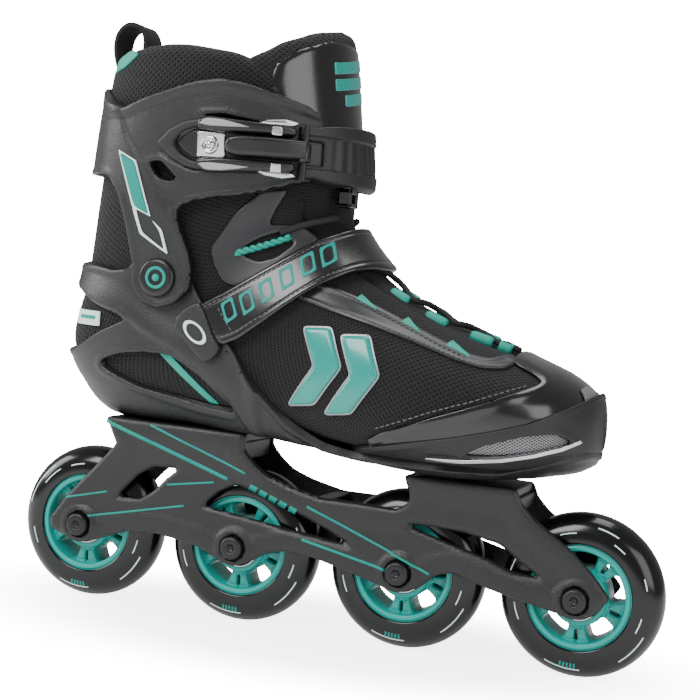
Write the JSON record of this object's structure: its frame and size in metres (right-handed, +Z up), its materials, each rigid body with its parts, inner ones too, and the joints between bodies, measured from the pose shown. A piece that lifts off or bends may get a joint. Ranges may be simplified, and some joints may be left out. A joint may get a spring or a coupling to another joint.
{
  "type": "inline skate",
  "caption": "Right-foot inline skate: padded mesh boot in a moulded shell with hinged cuff, buckle and instep strap, on a frame of wheels in one line.",
  "frame": {"origin": "heel seat of the footbed, straight below the cuff's pivots, in the middle plane of the wheels", "axes": "+X to the toe along the line of wheels, +Y to the inner side of the right foot, +Z up"},
  "size_m": [0.344, 0.1168, 0.306],
  "materials": {
    "tyre": "glossy cast polyurethane, side faces smooth",
    "hub_plastic": "glossy moulded turquoise nylon",
    "bearing_steel": "ground and polished",
    "black_steel": "black oxide, satin",
    "chrome": "polished",
    "frame_plastic": "satin charcoal moulded composite",
    "moulded_plastic": "satin charcoal with a fine grain",
    "mesh_fabric": "open 3D mesh over padding",
    "leatherette": "smooth glossy synthetic leather with stitching",
    "lace_cord": "woven black webbing and braided lace",
    "insole_foam": "brushed foam"
  },
  "bodies": {
    "chassis": {"frame": "frame_plastic", "frame_bolt_rear": "black_steel", "frame_bolt_front": "black_steel", "shell": "moulded_plastic", "vamp": "mesh_fabric", "tongue_lower": "leatherette", "insole": "insole_foam", "toe_cap": "leatherette", "toe_bumper": "moulded_plastic", "eyestay_outer_side": "leatherette", "eyestay_inner_side": "leatherette", "lace": "lace_cord", "instep_strap": "leatherette", "strap_anchor_outer_side": "moulded_plastic", "strap_anchor_inner_side": "moulded_plastic", "cuff_pivot_outer_side": "moulded_plastic", "cuff_pivot_inner_side": "moulded_plastic", "wheel_1_spacer": "bearing_steel", "wheel_1_axle_bolt": "black_steel", "wheel_1_axle_nut": "black_steel", "wheel_2_spacer": "bearing_steel", "wheel_2_axle_bolt": "black_steel", "wheel_2_axle_nut": "black_steel", "wheel_3_spacer": "bearing_steel", "wheel_3_axle_bolt": "black_steel", "wheel_3_axle_nut": "black_steel", "wheel_4_spacer": "bearing_steel", "wheel_4_axle_bolt": "black_steel", "wheel_4_axle_nut": "black_steel"},
    "wheel_1": {"wheel_1_tyre": "tyre", "wheel_1_hub": "hub_plastic", "wheel_1_bearing_outer_side": "bearing_steel", "wheel_1_bearing_inner_side": "bearing_steel"},
    "wheel_2": {"wheel_2_tyre": "tyre", "wheel_2_hub": "hub_plastic", "wheel_2_bearing_outer_side": "bearing_steel", "wheel_2_bearing_inner_side": "bearing_steel"},
    "wheel_3": {"wheel_3_tyre": "tyre", "wheel_3_hub": "hub_plastic", "wheel_3_bearing_outer_side": "bearing_steel", "wheel_3_bearing_inner_side": "bearing_steel"},
    "wheel_4": {"wheel_4_tyre": "tyre", "wheel_4_hub": "hub_plastic", "wheel_4_bearing_outer_side": "bearing_steel", "wheel_4_bearing_inner_side": "bearing_steel"},
    "cuff_assembly": {"cuff": "moulded_plastic", "collar": "mesh_fabric", "tongue_upper": "leatherette", "pull_loop": "lace_cord", "buckle_base": "chrome", "buckle_rivet": "chrome", "band_rivet": "chrome", "front_band_tab": "moulded_plastic"},
    "front_strap": {"front_band": "moulded_plastic", "lever_pin": "bearing_steel", "strap_guide": "moulded_plastic"},
    "lever": {"buckle_lever": "moulded_plastic"}
  },
  "joints": [
    {"name": "wheel_1_spin", "type": "hinge", "parent": "chassis", "child": "wheel_1", "pos_m": [-0.046, 0, -0.077], "axis": [0, 1, 0], "continuous": true},
    {"name": "wheel_2_spin", "type": "hinge", "parent": "chassis", "child": "wheel_2", "pos_m": [0.042, 0, -0.077], "axis": [0, 1, 0], "continuous": true},
    {"name": "wheel_3_spin", "type": "hinge", "parent": "chassis", "child": "wheel_3", "pos_m": [0.13, 0, -0.077], "axis": [0, 1, 0], "continuous": true},
    {"name": "wheel_4_spin", "type": "hinge", "parent": "chassis", "child": "wheel_4", "pos_m": [0.218, 0, -0.077], "axis": [0, 1, 0], "continuous": true},
    {"name": "cuff_flex", "type": "hinge", "parent": "chassis", "child": "cuff_assembly", "pos_m": [0, 0, 0.0562], "axis": [0, 1, 0], "range_deg": [-4, 5], "stiffness_Nm_per_rad": 8},
    {"name": "front_strap_swing", "type": "hinge", "parent": "cuff_assembly", "child": "front_strap", "pos_m": [0.056, 0.05194, 0.123], "axis": [0, 0, 1], "range_deg": [0, 70]},
    {"name": "buckle_lever_open", "type": "hinge", "parent": "front_strap", "child": "lever", "pos_m": [0.069, -0.03877, 0.123], "axis": [0, 0, 1], "range_deg": [0, 85]}
  ]
}
